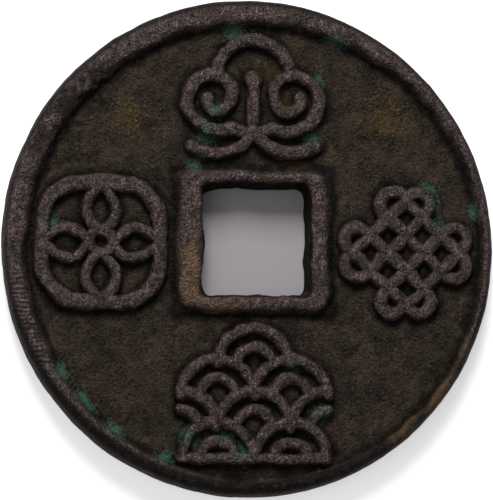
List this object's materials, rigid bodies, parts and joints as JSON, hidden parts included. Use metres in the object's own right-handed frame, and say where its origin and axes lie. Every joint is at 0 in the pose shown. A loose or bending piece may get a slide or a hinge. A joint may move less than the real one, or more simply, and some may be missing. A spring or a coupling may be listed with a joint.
{
  "type": "charm coin",
  "caption": "Large round cast bronze charm coin with raised rims, a square hole for a cord, and raised cloud, knot, wave and blossom devices on the obverse.",
  "frame": {"origin": "centre of the plane that the reverse rims rest on", "axes": "+Z out of the obverse face, +Y towards the top of the obverse, +X to its right"},
  "size_m": [0.0596, 0.0604, 0.004],
  "materials": {
    "patinated_bronze": "dark brown patina with an olive cast, rough from the mould",
    "rubbed_bronze": "high points rubbed to a greyish purple brown"
  },
  "bodies": {
    "root": {"coin_body": "patinated_bronze", "cloud_relief": "rubbed_bronze", "knot_relief": "rubbed_bronze", "wave_relief": "rubbed_bronze", "blossom_relief": "rubbed_bronze"}
  },
  "joints": []
}
